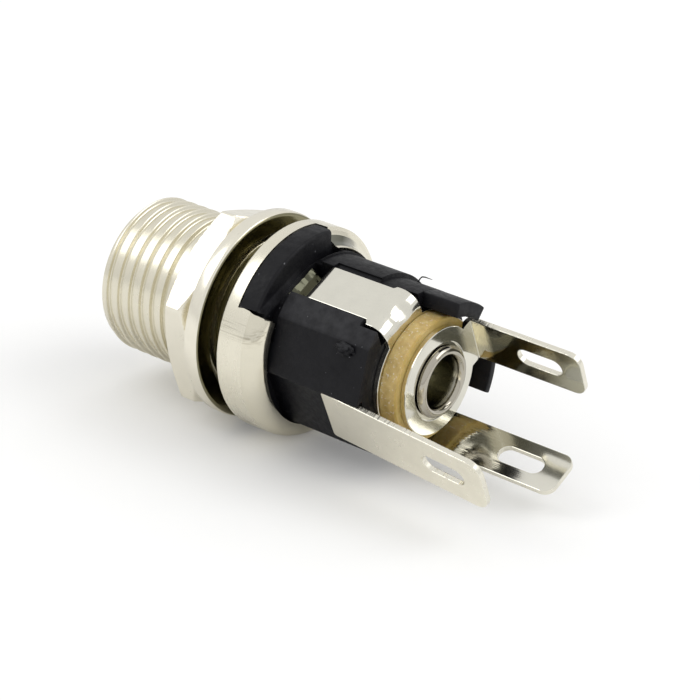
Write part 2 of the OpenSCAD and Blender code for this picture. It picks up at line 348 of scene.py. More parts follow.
def flat_plate(loops, thickness, bevel=0.05):
    """A flat plate in (s, w) about t = 0 with softened edges."""
    curve = bpy.data.curves.new("outline", "CURVE")
    curve.dimensions, curve.fill_mode = "2D", "BOTH"
    curve.extrude, curve.bevel_depth, curve.bevel_resolution = thickness / 2 - bevel, bevel, 1
    curve.offset = -bevel
    for loop in loops:
        spline = curve.splines.new("POLY")
        spline.points.add(len(loop) - 1)
        for p, (s, w) in zip(spline.points, loop):
            p.co = (s, w, 0, 1)
        spline.use_cyclic_u = True
    obj = bpy.data.objects.new("outline", curve)
    bpy.context.scene.collection.objects.link(obj)
    return mesh_arrays(obj)


def sliced(shell, cuts):
    """The shell cut by planes, each given as (axis, value)."""
    bm = to_bmesh([shell])
    for axis, value in cuts:
        co, no = Vector(), Vector()
        co[axis], no[axis] = value, 1
        parts = bm.verts[:] + bm.edges[:] + bm.faces[:]
        bmesh.ops.bisect_plane(bm, geom=parts, dist=1e-5, plane_co=co, plane_no=no)
    verts = np.array([v.co for v in bm.verts])
    bm.verts.index_update()
    faces = [tuple(v.index for v in f.verts) for f in bm.faces]
    bm.free()
    return verts, faces


class Bend:
    """A bent mid-line in a plane; plates are laid along it."""

    def __init__(self, points):
        self.p = np.array(fillet(points, closed=False, n=8))
        step = np.diff(self.p, axis=0)
        self.len = np.linalg.norm(step, axis=1)
        self.s = np.concatenate([[0], np.cumsum(self.len)])
        d = step / self.len[:, None]
        t = np.vstack([d[:1], d[:-1] + d[1:], d[-1:]])
        t /= np.linalg.norm(t, axis=1)[:, None]
        cos_half = np.concatenate([[1], np.einsum("ij,ij->i", t[1:-1], d[1:]), [1]])
        self.n = np.stack([-t[:, 1], t[:, 0]], 1) / cos_half[:, None]

    def at(self, point):
        """Distance along the line of the place nearest to point."""
        q = np.array(point, float)
        best = (1e9, 0)
        for i, length in enumerate(self.len):
            d = (self.p[i + 1] - self.p[i]) / length
            u = float(np.clip((q - self.p[i]) @ d, 0, length))
            best = min(best, (float(np.linalg.norm(self.p[i] + d * u - q)), self.s[i] + u))
        return best[1]

    def lay(self, shell, press=None, extra=()):
        """Plate vertices (s, w, t) as (u, v, w); press(s, w) pushes the sheet along its normal."""
        cuts = [(0, s) for s in self.s[1:-1]] + list(extra)
        verts, faces = sliced(shell, cuts)
        s, w, t = verts.T
        if press:
            t = t + np.array([press(a, b) for a, b in zip(s, w)])
        u = np.interp(s, self.s, self.p[:, 0]) + t * np.interp(s, self.s, self.n[:, 0])
        v = np.interp(s, self.s, self.p[:, 1]) + t * np.interp(s, self.s, self.n[:, 1])
        return np.stack([u, v, w], 1), faces


def mirrored(half, other=None):
    """A closed loop from its half with w > 0, and the other half where that differs."""
    return list(half) + [(s, -w) for s, w in reversed(other or half)]


def strip_blank(length, w0, w1):
    """Outline of a plain strip."""
    return [(0, w0), (length, w0), (length, w1), (0, w1)]


def slot_loop(s_end):
    """Solder slot that ends SLOT_END from a lug's end at s_end."""
    s1 = s_end - SLOT_END - SLOT_W / 2
    s0 = s1 - SLOT_L + SLOT_W
    r = SLOT_W / 2
    right = [(s1 + r * math.sin(a), -r * math.cos(a)) for a in np.linspace(0, math.pi, 13)]
    left = [(s0 - r * math.sin(a), r * math.cos(a)) for a in np.linspace(0, math.pi, 13)]
    return right + left


def circle_loop(s, r):
    return [(s + r * math.cos(a), r * math.sin(a)) for a in np.linspace(0, 2 * math.pi, 64, endpoint=False)]


def lug_end(s_end, half_w, corner):
    """Half outline of a lug's rounded end, from its side to its tip."""
    return [tuple(p) for p in fillet([(s_end - 3, half_w, 0), (s_end, half_w, corner), (s_end, 0, 0)],
                                     closed=False, n=8)][1:]


# ---- node helpers ----
class Nodes:
    """A material's node tree, with coordinates in own millimetres."""

    def __init__(self, name):
        self.mat = bpy.data.materials.new(name)
        self.mat.use_nodes = True
        self.tree = self.mat.node_tree
        self.shader = self.tree.nodes["Principled BSDF"]
        tex = self.tree.nodes.new("ShaderNodeTexCoord")
        self.own = self.tree.nodes.new("ShaderNodeMapping")
        self.own.inputs["Rotation"].default_value = (-ROLL, 0, 0)
        self.own.inputs["Scale"].default_value = (1 / MM,) * 3
        self.link(tex.outputs["Object"], self.own.inputs["Vector"])
        self.height = None

    def link(self, a, b):
        self.tree.links.new(a, b)

    def noise(self, scale, detail=2.0, stretch=(1, 1, 1), roughness=0.5):
        scaled = self.tree.nodes.new("ShaderNodeMapping")
        scaled.inputs["Scale"].default_value = stretch
        self.link(self.own.outputs[0], scaled.inputs["Vector"])
        n = self.tree.nodes.new("ShaderNodeTexNoise")
        n.inputs["Scale"].default_value = scale
        n.inputs["Detail"].default_value = detail
        n.inputs["Roughness"].default_value = roughness
        self.link(scaled.outputs[0], n.inputs["Vector"])
        return n.outputs["Fac"]

    def remap(self, value, a0, a1, b0, b1):
        m = self.tree.nodes.new("ShaderNodeMapRange")
        m.clamp = True
        for k, v in zip(("From Min", "From Max", "To Min", "To Max"), (a0, a1, b0, b1)):
            m.inputs[k].default_value = v
        self.link(value, m.inputs["Value"])
        return m.outputs[0]

    def math(self, op, a, b):
        m = self.tree.nodes.new("ShaderNodeMath")
        m.operation = op
        for socket, v in zip(m.inputs, (a, b)):
            if isinstance(v, (int, float)):
                socket.default_value = v
            else:
                self.link(v, socket)
        return m.outputs[0]

    def times(self, first, *others):
        for other in others:
            first = self.math("MULTIPLY", first, other)
        return first

    def fade(self, axis, start, end):
        """0 to 1 from start to end along an own axis."""
        split = self.tree.nodes.new("ShaderNodeSeparateXYZ")
        self.link(self.own.outputs[0], split.inputs[0])
        return self.remap(split.outputs[axis], start, end, 0, 1)

    def graded(self, tones, axis):
        """Colour by the place along an own axis, for painted reflection and shade; tones are (place, colour).
        """
        start, end = tones[0][0], tones[-1][0]
        ramp = self.tree.nodes.new("ShaderNodeValToRGB")
        self.link(self.fade(axis, start, end), ramp.inputs["Fac"])
        stops = ramp.color_ramp.elements
        for stop, (_, color) in zip(stops, (tones[0], tones[-1])):
            stop.color = (*color, 1)
        for x, color in tones[1:-1]:
            stops.new((x - start) / (end - start)).color = (*color, 1)
        return ramp.outputs[0]

    def mix(self, factor, a, b):
        m = self.tree.nodes.new("ShaderNodeMix")
        m.data_type = "RGBA"
        self.link(factor, m.inputs["Factor"])
        for socket, v in ((m.inputs[6], a), (m.inputs[7], b)):
            if isinstance(v, tuple):
                socket.default_value = (*v, 1)
            else:
                self.link(v, socket)
        return m.outputs[2]

    def bump(self, value, depth_mm, strength=1.0):
        b = self.tree.nodes.new("ShaderNodeBump")
        b.inputs["Strength"].default_value = strength
        b.inputs["Distance"].default_value = depth_mm * MM
        self.link(value, b.inputs["Height"])
        if self.height:
            self.link(self.height, b.inputs["Normal"])
        self.height = b.outputs[0]
        self.link(self.height, self.shader.inputs["Normal"])


PLATE = (0.78, 0.74, 0.61)          # warm grey of the plating
RIM_BRUSH = (1.0, 0.06, 0.06)       # stretch of the marks that run round the turned faces
CUT_BRUSH = (1.0, 0.15, 0.15)       # and of those across the sheared edges


def streaks(n, base, z0, z1):
    """The base colour with dark hairlines along the axis, on the near side between two heights."""
    soft = 0.3
    lines = n.remap(n.noise(2.6, 1, stretch=(0.10, 1.2, 4.0)), 0.48, 0.62, 0, 0.6)
    band = n.times(n.fade("Z", z0 - soft, z0 + soft), n.fade("Z", z1 + soft, z1 - soft),
                   n.fade("Y", -1.0, -2.0))
    return n.mix(n.times(band, lines), base, (0.34, 0.30, 0.22))


def nickel(name, rough, color=PLATE, brush=None, brush_depth=0.004, dirt=0.5, wave=0.02,
           tones=None, axis="X", streak=None):
    """Nickel plate: uneven gloss and face, brush marks, specks and tarnish, or tones along an axis that paint
    reflection and shade.
    """
    n = Nodes(name)
    n.shader.inputs["Metallic"].default_value = 1.0
    patches = n.noise(0.9, 3)
    fine = n.noise(5, 2, stretch=brush or (1, 1, 1))
    if tones:
        base = n.graded(tones, axis)
    else:
        tarnish = n.remap(patches, 0.35, 0.7, 0, 1)
        specks = n.remap(n.noise(6, 1), 0.73, 0.77, 0, 0.4 * dirt)
        tone = n.mix(tarnish, color, tuple(c * (1 - 0.12 * dirt) for c in color))
        base = n.mix(specks, tone, tuple(c * 0.3 for c in color))
    if streak:
        base = streaks(n, base, *streak)
    n.link(base, n.shader.inputs["Base Color"])
    gloss = n.math("ADD", n.math("MULTIPLY", patches, 0.6), n.math("MULTIPLY", fine, 0.4))
    n.link(n.remap(gloss, 0.3, 0.7, *rough), n.shader.inputs["Roughness"])
    n.bump(n.noise(0.8, 2), wave, 0.5)
    if brush:
        n.bump(n.noise(5, 1, stretch=brush), brush_depth)
    return n.mat


def black_plastic():
    """Black moulding: faint blotches, a lighter band on the near rail's top edge that is partly scuff marks
    and partly painted sheen, dust and a fine grain.
    """
    n = Nodes("black plastic")
    blotches = n.remap(n.noise(0.7, 3), 0.35, 0.65, 0, 1)
    base = n.mix(blotches, (0.0030, 0.0030, 0.0045), (0.0060, 0.0060, 0.0078))
    # painted sheen with scuff marks in it: the near rail's top edge is lightened, the far rail stays dark
    ridge = n.times(n.fade("Z", 4.95, 5.12), n.fade("Z", 5.95, 5.8), n.fade("Y", 0.5, -0.5))
    scuffs_and_sheen = n.remap(n.noise(1.4, 4), 0.3, 0.65, 0.35, 1)
    base = n.mix(n.times(ridge, scuffs_and_sheen), base, (0.026, 0.026, 0.029))
    dust = n.remap(n.noise(4.0, 1, roughness=0.3), 0.79, 0.81, 0, 0.4)
    n.link(n.mix(dust, base, (0.30, 0.30, 0.32)), n.shader.inputs["Base Color"])
    n.link(n.remap(n.noise(3, 4), 0.3, 0.7, 0.42, 0.6), n.shader.inputs["Roughness"])
    n.shader.inputs["Specular IOR Level"].default_value = 0.22
    n.bump(n.noise(9, 4), 0.012)
    n.bump(n.noise(2.2, 3), 0.03, 0.6)
    return n.mat


def fibre(name, light, dark, mottle, rough=0.6):
    """Vulcanised fibre: two tones and pale flakes, with a little light passing through."""
    n = Nodes(name)
    base = n.mix(n.remap(n.noise(2.2, 4), 0.35, 0.65, 0, 1), light, dark)
    flakes = n.remap(n.noise(5.5, 3), 0.60, 0.68, 0, mottle)
    n.link(n.mix(flakes, base, (0.80, 0.76, 0.66)), n.shader.inputs["Base Color"])
    n.shader.inputs["Roughness"].default_value = rough
    n.shader.inputs["Subsurface Weight"].default_value = 0.25
    n.shader.inputs["Subsurface Radius"].default_value = (0.0008, 0.0005, 0.0002)
    n.shader.inputs["Subsurface Scale"].default_value = 1.0
    n.bump(n.noise(5, 3), 0.02 + 0.03 * mottle)
    return n.mat


# ---- bush ----
def thread_form(x, a):
    """Radius of the rolled thread: thin crests and wide, nearly flat roots."""
    phase = (x / PITCH - a / (2 * math.pi)) % 1.0
    from_crest = np.minimum(phase, 1 - phase) * 2
    return THREAD_R - THREAD_DEPTH * smooth_step((from_crest - CREST) / CREST_FLANK)


def thread_shell():
    """Open skin of the thread, with rows that follow the helix so that the crests stay crisp."""
    end = 0.02                          # the skin stops this far from both ends of the barrel
    relief_x, relief_l = -0.75, 0.3     # the thread runs out into a plain neck here
    flank = [0.06, 0.085, 0.11, 0.14, 0.17]
    phases = [-0.03, 0.03] + flank + [0.34, 0.5, 0.66] + [1 - p for p in reversed(flank)]
    turns = range(-int(THREAD_L / PITCH) - 3, 2)
    rows = np.concatenate([(np.array(phases) + k) * PITCH for k in turns])
    angles = np.linspace(0, 2 * math.pi, 193)
    a, u = np.meshgrid(angles, rows)
    x = np.clip(u + PITCH * a / (2 * math.pi), end - THREAD_L, -end)
    relief = smooth_step((x - relief_x) / relief_l)
    r = thread_form(x, a) * (1 - relief) + (THREAD_R - THREAD_DEPTH) * relief
    r = smooth_min(r, LEAD_R + (x + THREAD_L) * 1.1, 0.02)
    return polar_verts(x, r, a), grid_faces(len(rows), len(angles), closed=False)


def lobe_warp(a, r, x):
    """The far lobe is pressed down further, and the ends of both are torn."""
    deg = (np.degrees(a) + 180) % 360 - 180
    far = smooth_step((deg - FAR_LOBE_A + 4) / 8) * (deg < 100)
    behind = x > RIM_X
    down, far_x, far_r = zip(*FAR_LOBE)
    depth = (x - RIM_X) / (CRIMP_X - RIM_X)
    x_far = np.interp(depth, down, far_x)
    r_far = np.where(r < BODY_R + FIT + 0.02, r, np.interp(depth, down, far_r))
    x = np.where(behind, x + (x_far - x) * far, x)
    r = np.where(behind, r + (r_far - r) * far, r)
    a = a.copy()
    for row in range(a.shape[0]):
        rr, xx = r[row, 0], x[row, 0]
        for col, side in ((0, 1), (-1, -1)):
            tear = 1.3 * wobble(xx, rr * 2, 3.1 * side, 0.55) + 1.6 * smooth_step((xx - 2.6) / 0.8)
            a[row, col] += math.radians(side * tear)
    return a, r, x


def make_bush(mats):
    skin_r, corner = 4.9, 0.22          # inside of the thread's skin, and rounding of the flange
    seat_r, lip_r = DISC_R + FIT, BODY_R + FIT
    profile = [(BUSH_BORE_R, STEP_X - 0.02), (BUSH_BORE_R, 0.15 - THREAD_L), (BUSH_BORE_R + 0.15, -THREAD_L),
               (LEAD_R - 0.02, -THREAD_L), (LEAD_R + 0.01, 0.02 - THREAD_L), (LEAD_R + 0.01, 0.3 - THREAD_L),
               (skin_r, 0.4 - THREAD_L), (skin_r, -0.1), (5.1, -0.08), (5.1, 0.0), (5.7, 0.0),
               (FLANGE_R - corner, 0.0)]
    profile += arc_profile(FLANGE_R - corner, corner, corner, corner, 0.2 - math.pi / 2, 0, 6)
    profile += [(FLANGE_R, 0.6), (FLANGE_R, STEP_X), (seat_r, STEP_X), (5, STEP_X)]
    ring = lathe(profile, steps=192)
    dome = arc_profile(lip_r + 0.1, RIM_X, FLANGE_R - lip_r - 0.1, CRIMP_X - RIM_X, 0, math.radians(82), 18)
    inside = [(lip_r + 0.06, CRIMP_X), (lip_r, CRIMP_X - 0.12), (lip_r, DISC_X), (seat_r, DISC_X),
              (seat_r, STEP_X)]
    lobes = lathe([(FLANGE_R, STEP_X), (FLANGE_R, 1.5)] + dome + inside, steps=220,
                  arc=(KEY_A1, 360 + KEY_A0), warp=lobe_warp)

    def zone(c, n):
        """Thread 0, rim 1, the faces of the panel gap 2 with painted shade, the rolled lobes 3, the hollow
        beside the key 4 with a painted reflection of the key.
        """
        if c.x > RIM_X + 0.12:
            # painted reflection: the far lobe's hollow beside the key is darkened where it would mirror the
            # black key
            hollow = c.y > 0 and c.x < FAR_LOBE_X and math.hypot(c.y, c.z) < 6.8
            return 4 if hollow else 3
        if c.x > 0.02:
            return 1
        return 2 if c.x > COLLAR_X and math.hypot(c.y, c.z) > skin_r else 0

    obj = add_piece("bush", [ring, thread_shell(), lobes], mats, 30, zone)
    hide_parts("bush")


# ---- nut ----
def make_nut(mats):
    hex_row = 9                         # a radius past everything, which marks the hexagon's rows
    corner_r, chamfer = 7.48, 0.15      # turned-off corners and chamfered ends of the hexagon
    mouth, round_r = 0.4, 0.3           # chamfer of the bore, and rounding of the collar

    def warp(a, r, x):
        """The marked rows take the radius of the chamfered hexagon."""
        corner = NUT_FLAT / np.cos(np.radians((np.degrees(a) - NUT_CLOCK) % 60 - 30))
        ends = np.minimum(x - NUT_X0, NUT_X1 - x)
        cone = NUT_FLAT - chamfer + np.maximum(ends, 0) * 1.85
        hexagon = smooth_min(smooth_min(corner, cone, 0.025), np.full_like(x, corner_r), 0.02)
        return a, np.where(r == hex_row, hexagon, r), x

    dense = 0.7                         # length of the closer rows at both ends
    rows = np.concatenate([np.linspace(NUT_X0 + 0.01, NUT_X0 + dense, 12),
                           np.linspace(NUT_X0 + dense + 0.1, NUT_X1 - dense - 0.1, 6),
                           np.linspace(NUT_X1 - dense, NUT_X1 - 0.01, 12)])
    collar = [(6.3, NUT_X1), (FLANGE_R - 0.15, NUT_X1), (FLANGE_R - 0.04, NUT_X1 + 0.05),
              (FLANGE_R, NUT_X1 + 0.16), (FLANGE_R, -2.2), (FLANGE_R, COLLAR_X - round_r)]
    collar += arc_profile(FLANGE_R - round_r, COLLAR_X - round_r, round_r, round_r, 0.25, math.pi / 2, 6)
    bore_r = THREAD_R + FIT
    bore = [(bore_r + mouth, COLLAR_X), (bore_r, COLLAR_X - mouth), (bore_r, NUT_X0 + mouth),
            (bore_r + mouth, NUT_X0)]
    shell = lathe(bore + [(hex_row, x) for x in rows] + collar, steps=360, warp=warp)
    obj = add_piece("hex_nut", [shell], mats, 22, lambda c, n: c.x > COLLAR_X - 0.08)
    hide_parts("hex_nut")


# ---- moulded body ----
def body_section():
    """Outline behind the flange: round, with a flat flank, the seat of the shunt blade and a flat foot."""
    seat_y, seat_z, foot_z = -5.05, 2.1, -4.75
    spread = math.degrees(math.acos(FLANK_D / BODY_R))
    foot = math.degrees(math.asin(foot_z / BODY_R))
    seat = math.degrees(math.acos(seat_y / BODY_R))
    points = arc_points(BODY_R, foot, FLANK_A - spread, 44)
    points += [on_circle(BODY_R, FLANK_A + spread), (-math.sqrt(BODY_R ** 2 - seat_z ** 2), seat_z)]
    return points + [(seat_y, seat_z)] + arc_points(BODY_R, 360 - seat, 180 - foot, 6)


def key_warp(a, r, x):
    """Torn ends of the key, and its rough outer surface and front edge."""
    a = a.copy()
    n = a.shape[1]
    reach = 4                           # columns over which a torn end fades
    for row in range(a.shape[0]):
        rr, xx = r[row, 0], x[row, 0]
        for s in (0, 1):
            tear = 2.6 * wobble(xx * 1.3, rr * 1.3, 9 + 5 * s, 0.45) + 0.6
            for k in range(reach):
                col = k if s == 0 else n - 1 - k
                a[row, col] += math.radians(tear * (1 if s == 0 else -1)) * (1 - k / reach)
        if rr > 6.5:
            for col in range(n):
                where = math.degrees(a[row, col]) / 9
                r[row, col] -= 0.035 * (1 + wobble(where, xx, 1.7, 0.5))
                if xx < STEP_X + 0.1:
                    x[row, col] += 0.09 * (wobble(where, rr, 6.3, 0.35) - 0.2)
    return a, r, x


def gate_pip():
    """Torn moulding gate on the flank."""
    half_l, half_h, depth = PIP
    around = np.linspace(0, 2 * math.pi, 28, endpoint=False)
    lon, lat = np.meshgrid(around, np.linspace(0.1, math.pi - 0.1, 14))
    ball = np.stack([np.cos(lon) * np.sin(lat), np.sin(lon) * np.sin(lat), np.cos(lat)], -1)
    lump = np.array([[1 + 0.45 * wobble(*(3 * p), 1.3) for p in row] for row in ball])
    along, up, out = (lump * size * ball[..., k] for k, size in enumerate((half_l, half_h, depth)))
    along, up = along - 0.45 * up, up + 0.12 * along
    out = out + FLANK_D + 0.12
    c, s = on_circle(1, FLANK_A)
    y = out * c + (GATE_UP + up) * s
    z = out * s - (GATE_UP + up) * c
    verts = np.stack([GATE_X + along, y, z], -1).reshape(-1, 3)
    m, n = lon.shape
    return verts, grid_faces(m, n, closed=True) + grid_ends(m, n)


def flash_hair():
    """Sliver of moulding flash that stands off the step of the far rail."""
    path = np.array([(8.5, 4.35, 2.95), (8.58, 4.64, 3.13), (8.62, 4.80, 3.24), (8.72, 4.90, 3.32),
                     (8.95, 4.94, 3.35), (9.5, 4.95, 3.34)])
    radius = (0.10, 0.07, 0.06, 0.06, 0.05, 0.02)
    ring = np.linspace(0, 2 * math.pi, 7, endpoint=False)
    side, up = np.array((0.35, 0.66, -0.66)), np.array((0.35, 0.5, 0.8))
    around = np.outer(np.cos(ring), side) + np.outer(np.sin(ring), up)
    verts = np.concatenate([p + r * around for p, r in zip(path, radius)])
    m, n = len(path), len(ring)
    return verts, grid_faces(m, n, closed=True) + grid_ends(m, n)


def make_body(mats):
    out, over, past = 9, 8, 12          # cutters reach this radius, this height and this far back
    nose_x = -11.6                      # front of the snout
    tube = lathe([(PLUG_R, DISC_X + 0.1), (PLUG_R, nose_x + 0.25), (PLUG_R + 0.25, nose_x),
                  (SNOUT_R - 0.1, nose_x), (SNOUT_R, nose_x + 0.1), (SNOUT_R, STEP_X), (DISC_R, STEP_X),
                  (DISC_R, DISC_X), (4.5, DISC_X + 0.1)])
    key_in, key_out = 6.0, FLANGE_R - 0.02
    key_profile = fillet([(key_in, STEP_X, 0), (key_out, STEP_X, 0.12), (key_out, DISC_X, 0.22),
                          (key_in, DISC_X, 0)], n=8)
    key = lathe(key_profile, steps=72, arc=(KEY_A0 + 0.6, KEY_A1 - 0.6), warp=key_warp)
    far, far_prongs = (arc_band(r, out, FAR_A0, FAR_A1, 60) for r in (FAR_R, PRONG_R))
    cutters = [
        # channel of the strip, room for its shoulders, and the window
        block(WINDOW_X1 - 0.1, RAIL_X + 0.01, -CHANNEL_NEAR, CHANNEL_FAR, STRIP_Z - SHEET_T, over),
        block(RAIL_X, past, -SHOULDER_W, CHANNEL_FAR, 4.35, over),
        block(WINDOW_X0, WINDOW_X1, -CHANNEL_NEAR, 1.7, 2.5, over),
        # undercut behind the key, and the bores for the pin and the plug
        prism(arc_band(NECK_R, out, KEY_A0 - 4, KEY_A1 + 14, 40), DISC_X - 0.1, NECK_X),
        prism(round_section(SHANK_R + 0.15, 16), 1, past),
        prism(round_section(PLUG_R, 32), 1, HEAD_X0),
        # the two steps of the far side
        prism(far, CRIMP_X, past),
        prism(far_prongs, FAR_X, past),
    ]
    rear = carved(prism(body_section(), DISC_X - 0.05, BODY_X), cutters, 0.1)
    prongs = [carved(prism(arc_band(PRONG_R - t, PRONG_R - 0.01, a0, a1, 24), BODY_X - 0.6, x1), [], 0.09)
              for (a0, a1, t), x1 in ((PRONG_TOP, PRONG_X), (PRONG_LOW, PRONG_X - 0.1))]
    obj = add_piece("body", [tube, key, rear, *prongs, gate_pip(), flash_hair()], mats, 16)
    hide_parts("body")


# ---- contacts ----
def turned_over(shell):
    """A shell from (u, v, w) of a bend in the x-z plane to (x, y, z)."""
    verts, faces = shell
    return verts[:, [0, 2, 1]], faces


def ring_arc(s, r, a0, a1, n):
    """Edge of a ring plate about s on the mid-line, from the angle a0 at its front to a1."""
    return [(s - y, z) for y, z in (on_circle(r, a) for a in np.linspace(a0, a1, n))]


def dent_depth(s, w):
    """Depth of the dents struck in the rear bend, at a place given from its middle."""
    dents = ((0.05, 0.35, 0.60, 0.75, -0.15), (0.15, -0.85, 0.50, 0.55, -0.05))
    return sum(depth * float(smooth_step(1.15 - math.hypot((s - s0) / half_l, (w - w0) / half_w)))
               for s0, w0, half_l, half_w, depth in dents)


def contact_strip():
    """The strip with its shoulders, rear bend, ring plate and lower lug, cut from one blank."""
    mid = STRIP_Z - SHEET_T / 2
    line = Bend([(2.9, LEAF_Z + 0.05, 0), (3.2, LEAF_Z + 0.05, 0.5), (4.45, mid, 0.7), (CONTACT_X, mid, 1.0),
                 (CONTACT_X, LUG_B_Z, 0.32), (LUG_B_X, LUG_B_Z, 0)])
    s_shoulder, s_ring, s_end = line.at((RAIL_X + 0.15, mid)), line.at((CONTACT_X, 0)), line.s[-1]
    s_bend = line.at((CONTACT_X - 0.3, mid - 0.3))
    shoulder, lug = 1.8, LUG_B_W / 2    # half widths
    top, low = math.degrees(math.asin(shoulder / CONTACT_R)), math.degrees(math.asin(lug / CONTACT_R))
    ring = ring_arc(s_ring, CONTACT_R, top, 180 - low, 32)

    def half(edge):
        """One side of the blank, from the front of the strip to the tip of the lug."""
        strip = fillet([(0, edge, 0), (s_shoulder - 0.1, edge, 0.1), (s_shoulder + 0.1, shoulder, 0.15),
                        (ring[0][0], shoulder, 0)], closed=False)
        return [(0, edge)] + [tuple(p) for p in strip][1:-1] + ring + lug_end(s_end, lug, LUG_CORNER)

    blank = mirrored(half(STRIP_FAR), half(STRIP_NEAR))
    plate = flat_plate([blank, circle_loop(s_ring, HUB_R + FIT), slot_loop(s_end)], SHEET_T)
    grid = [(0, s_bend + k * 0.11) for k in range(-11, 12)] + [(1, k * 0.12) for k in range(-11, 13)]
    return turned_over(line.lay(plate, lambda s, w: dent_depth(s - s_bend, w), grid))


def leaf_arm():
    """Hidden front arm of the leaf spring, with its contact tip in the plug bore."""
    line = Bend([(-6.2, LEAF_Z + 0.1, 0), (-5.9, LEAF_Z + 0.02, 0.3), (-4.6, LEAF_Z - 0.7, 0.3),
                 (-4.3, LEAF_Z - 0.7, 0.3), (-3.0, LEAF_Z, 0.3), (3.0, LEAF_Z, 0)])
    return turned_over(line.lay(flat_plate([strip_blank(line.s[-1], -1.1, 1.1)], LEAF_T, 0.04)))


def window_tab():
    """Bent tab seen down in the window, with a rippled face."""
    line = Bend([(2.62, 5.0, 0), (3.0, 4.65, 0.35), (3.3, 4.05, 0)])
    grid = [(1, -1.2 + k * 0.2) for k in range(13)] + [(0, 0.1 + k * 0.15) for k in range(7)]
    plate = flat_plate([strip_blank(line.s[-1], -1.3, 1.3)], 0.25, 0.04)
    return turned_over(line.lay(plate, lambda s, w: 0.07 * wobble(s * 0.6, w * 2.4, 5.0, 0.7), grid))


def make_sleeve_contact(mats):
    def zone(c, n):
        """Strip 0, sheared edges of the lug 1, the tab down in the window 2 with painted shade, the lug 3
        with a painted reflection along it.
        """
        if c.x < 3.4 and c.z > LEAF_Z + 0.26:
            return 2
        if c.x < CONTACT_X + 0.3:
            return 0
        return 1 if abs(n.z) < 0.5 else 3

    obj = add_piece("sleeve_contact", [contact_strip(), leaf_arm(), window_tab()], mats, SHEET_SMOOTH, zone)
    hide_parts("sleeve_contact")


def make_pin_terminal(mats):
    mid = (WASHER_X1 + RING_X1) / 2
    line = Bend([(-RING_R, mid, 0), (LUG_A_Y, mid, 0.26), (LUG_A_Y, LUG_A_X, 0)])
    s_end, lug = line.s[-1], LUG_A_W / 2
    ring = ring_arc(RING_R, RING_R, 0, 180 - math.degrees(math.asin(lug / RING_R)), 40)
    blank = mirrored(ring + lug_end(s_end, lug, LUG_CORNER))
    plate = flat_plate([blank, circle_loop(RING_R, GROOVE_R), slot_loop(s_end)], SHEET_T)
    verts, faces = line.lay(plate)
    shank_r, groove_r = SHANK_R + FIT, GROOVE_R + 0.02
    sunk = lathe([(shank_r, WASHER_X1), (groove_r, WASHER_X1), (groove_r, RING_X1 - 0.14),
                  (shank_r, RING_X1 - 0.10)], steps=96)

    def zone(c, n):
        """Ring plate 0, sheared edges of the lug 1, its inner face 2 with a painted reflection along it."""
        if c.x < RING_X1 + 0.3:
            return 0
        return 1 if abs(n.y) < 0.5 else 2

    obj = add_piece("pin_terminal", [(verts[:, [1, 0, 2]], faces), sunk], mats, SHEET_SMOOTH, zone)
    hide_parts("pin_terminal")


def make_shunt_terminal(mats):
    length, half_w = LUG_C_X - LUG_C_X0, LUG_C_W / 2
    line = Bend([(LUG_C_X0, LUG_C_Y, 0),
                 (LUG_C_X0 + length * math.cos(SPLAY), LUG_C_Y - length * math.sin(SPLAY), 0)])
    s_end = line.s[-1]
    front = [tuple(p) for p in fillet([(0, 0, 0), (0, half_w, 0.25), (3, half_w, 0)], closed=False)][1:-1]
    blank = mirrored(front + lug_end(s_end, half_w, LUG_CORNER))
    lug = line.lay(flat_plate([blank, slot_loop(s_end)], SHEET_T))
    inner = Bend([(FINGER_X0, BLADE_Y, 0), (LUG_C_X0 + 0.2, BLADE_Y, 0.25), (LUG_C_X0 + 0.2, LUG_C_Y, 0)])
    blade = inner.lay(flat_plate([strip_blank(inner.s[-1], -1.5, 1.9)], SHEET_T))
    top, outer = LEAF_Z - LEAF_T / 2, BLADE_Y - SHEET_T / 2
    finger = block(FINGER_X0, FINGER_X1, outer, 0.8, top - SHEET_T, top)
    riser = block(FINGER_X0, FINGER_X1, outer, outer + SHEET_T, 1.8, top - 0.05)
    shells = [lug, blade, carved(finger, [], 0.05), carved(riser, [], 0.05)]
    obj = add_piece("shunt_terminal", shells, mats, SHEET_SMOOTH,
                    lambda c, n: c.y < -4.6 and abs(n.y) < 0.5)
    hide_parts("shunt_terminal")


def make_washer(mats):
    def warp(a, r, x):
        """Rough outer surface."""
        places = np.stack([1.5 * x, r * np.cos(a), r * np.sin(a)], -1)
        rough = np.array([[wobble(*point, 0.5) for point in row] for row in places])
        return a, np.where(r > WASHER_R - 0.15, r - 0.03 + 0.03 * rough, r), x

    shank_r = SHANK_R + FIT
    profile = [(WASHER_R - 0.06, WASHER_X0 + 0.01)]
    profile += [(WASHER_R, x) for x in np.linspace(WASHER_X0 + 0.07, WASHER_X1 - 0.09, 12)]
    profile += [(WASHER_R - 0.07, WASHER_X1), (3.6, WASHER_X1), (shank_r, WASHER_X1), (shank_r, BODY_X),
                (HUB_R, BODY_X), (HUB_R, WASHER_X0 + 0.01)]
    obj = add_piece("insulating_washer", [lathe(profile, steps=220, warp=warp)], mats, 40,
                    lambda c, n: n.x > 0.6)
    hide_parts("insulating_washer")


